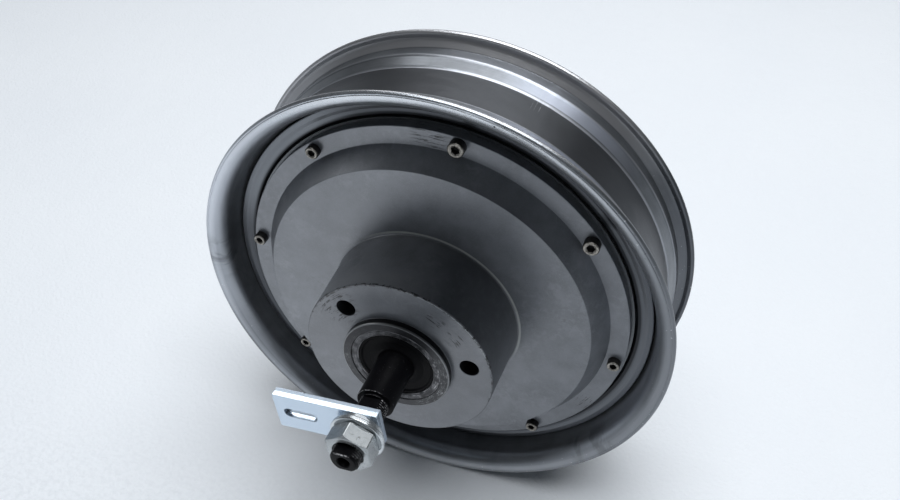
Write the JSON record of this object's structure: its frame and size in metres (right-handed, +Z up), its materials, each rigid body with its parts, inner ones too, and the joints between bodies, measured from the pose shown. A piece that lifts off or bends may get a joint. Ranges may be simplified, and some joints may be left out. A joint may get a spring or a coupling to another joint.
{
  "type": "hub motor wheel",
  "caption": "Steel scooter wheel rim with a brushless outrunner motor in its hub, a brake-disc boss, a flatted threaded axle and a slotted torque plate.",
  "frame": {"origin": "middle of the wheel: on the spin axis, halfway between the two rim lips", "axes": "Y is the spin axis, with -Y towards the brake disc side and the torque plate; +Z is up"},
  "size_m": [0.33, 0.291, 0.33],
  "materials": {
    "rim_steel": "dark rolled steel, semi-gloss, worn bright on the lips",
    "drum_steel": "dark machined steel",
    "magnet_nickel": "nickel plated",
    "cover_paint": "silver-grey satin paint on cast aluminium",
    "screw_black": "black oxide with bright rubbed rims",
    "bearing_steel": "ground steel",
    "cage_brass": "machined",
    "seal_rubber": "satin",
    "axle_black": "black oxide",
    "cast_aluminium": "cast",
    "lamination_steel": "varnished",
    "copper_wire": "enamelled copper",
    "white_nylon": "moulded",
    "circuit_board": "solder mask",
    "sensor_plastic": "moulded",
    "bright_zinc": "bright blue-white zinc plate"
  },
  "bodies": {
    "axle_and_stator": {"axle": "axle_black", "axle_key": "bearing_steel", "stator_carrier": "cast_aluminium", "stator_core": "lamination_steel", "windings": "copper_wire", "end_insulator_front": "white_nylon", "end_insulator_rear": "white_nylon", "hall_board": "circuit_board", "hall_sensors": "sensor_plastic", "front_bearing_inner_race": "bearing_steel", "rear_bearing_inner_race": "bearing_steel", "torque_plate": "bright_zinc", "spring_washer": "bright_zinc", "front_washer": "bright_zinc", "front_nut": "bright_zinc", "rear_washer": "bright_zinc", "rear_nut": "bright_zinc"},
    "wheel": {"rim": "rim_steel", "mounting_ring_front": "rim_steel", "mounting_ring_rear": "rim_steel", "drum": "drum_steel", "magnets": "magnet_nickel", "front_cover": "cover_paint", "rear_cover": "cover_paint", "cover_screws_m5_front": "screw_black", "cover_screws_m6_front": "screw_black", "cover_screws_rear": "screw_black", "front_seal_case": "bearing_steel", "front_seal_lip": "seal_rubber", "rear_seal_case": "bearing_steel", "rear_seal_lip": "seal_rubber", "front_bearing_outer_race": "bearing_steel", "rear_bearing_outer_race": "bearing_steel"},
    "front_ball_set": {"front_bearing_balls": "bearing_steel", "front_bearing_cage": "cage_brass"},
    "rear_ball_set": {"rear_bearing_balls": "bearing_steel", "rear_bearing_cage": "cage_brass"}
  },
  "joints": [
    {"name": "wheel_spin", "type": "hinge", "parent": "axle_and_stator", "child": "wheel", "pos_m": [0, 0, 0], "axis": [0, 1, 0], "continuous": true},
    {"name": "front_ball_set_spin", "type": "hinge", "parent": "axle_and_stator", "child": "front_ball_set", "pos_m": [0, -0.0685, 0], "axis": [0, 1, 0], "continuous": true},
    {"name": "rear_ball_set_spin", "type": "hinge", "parent": "axle_and_stator", "child": "rear_ball_set", "pos_m": [0, 0.038, 0], "axis": [0, 1, 0], "continuous": true}
  ],
  "couplings": [
    {"joint": "front_ball_set_spin", "follows": "wheel_spin", "ratio": 0.6322},
    {"joint": "rear_ball_set_spin", "follows": "wheel_spin", "ratio": 0.6033}
  ]
}
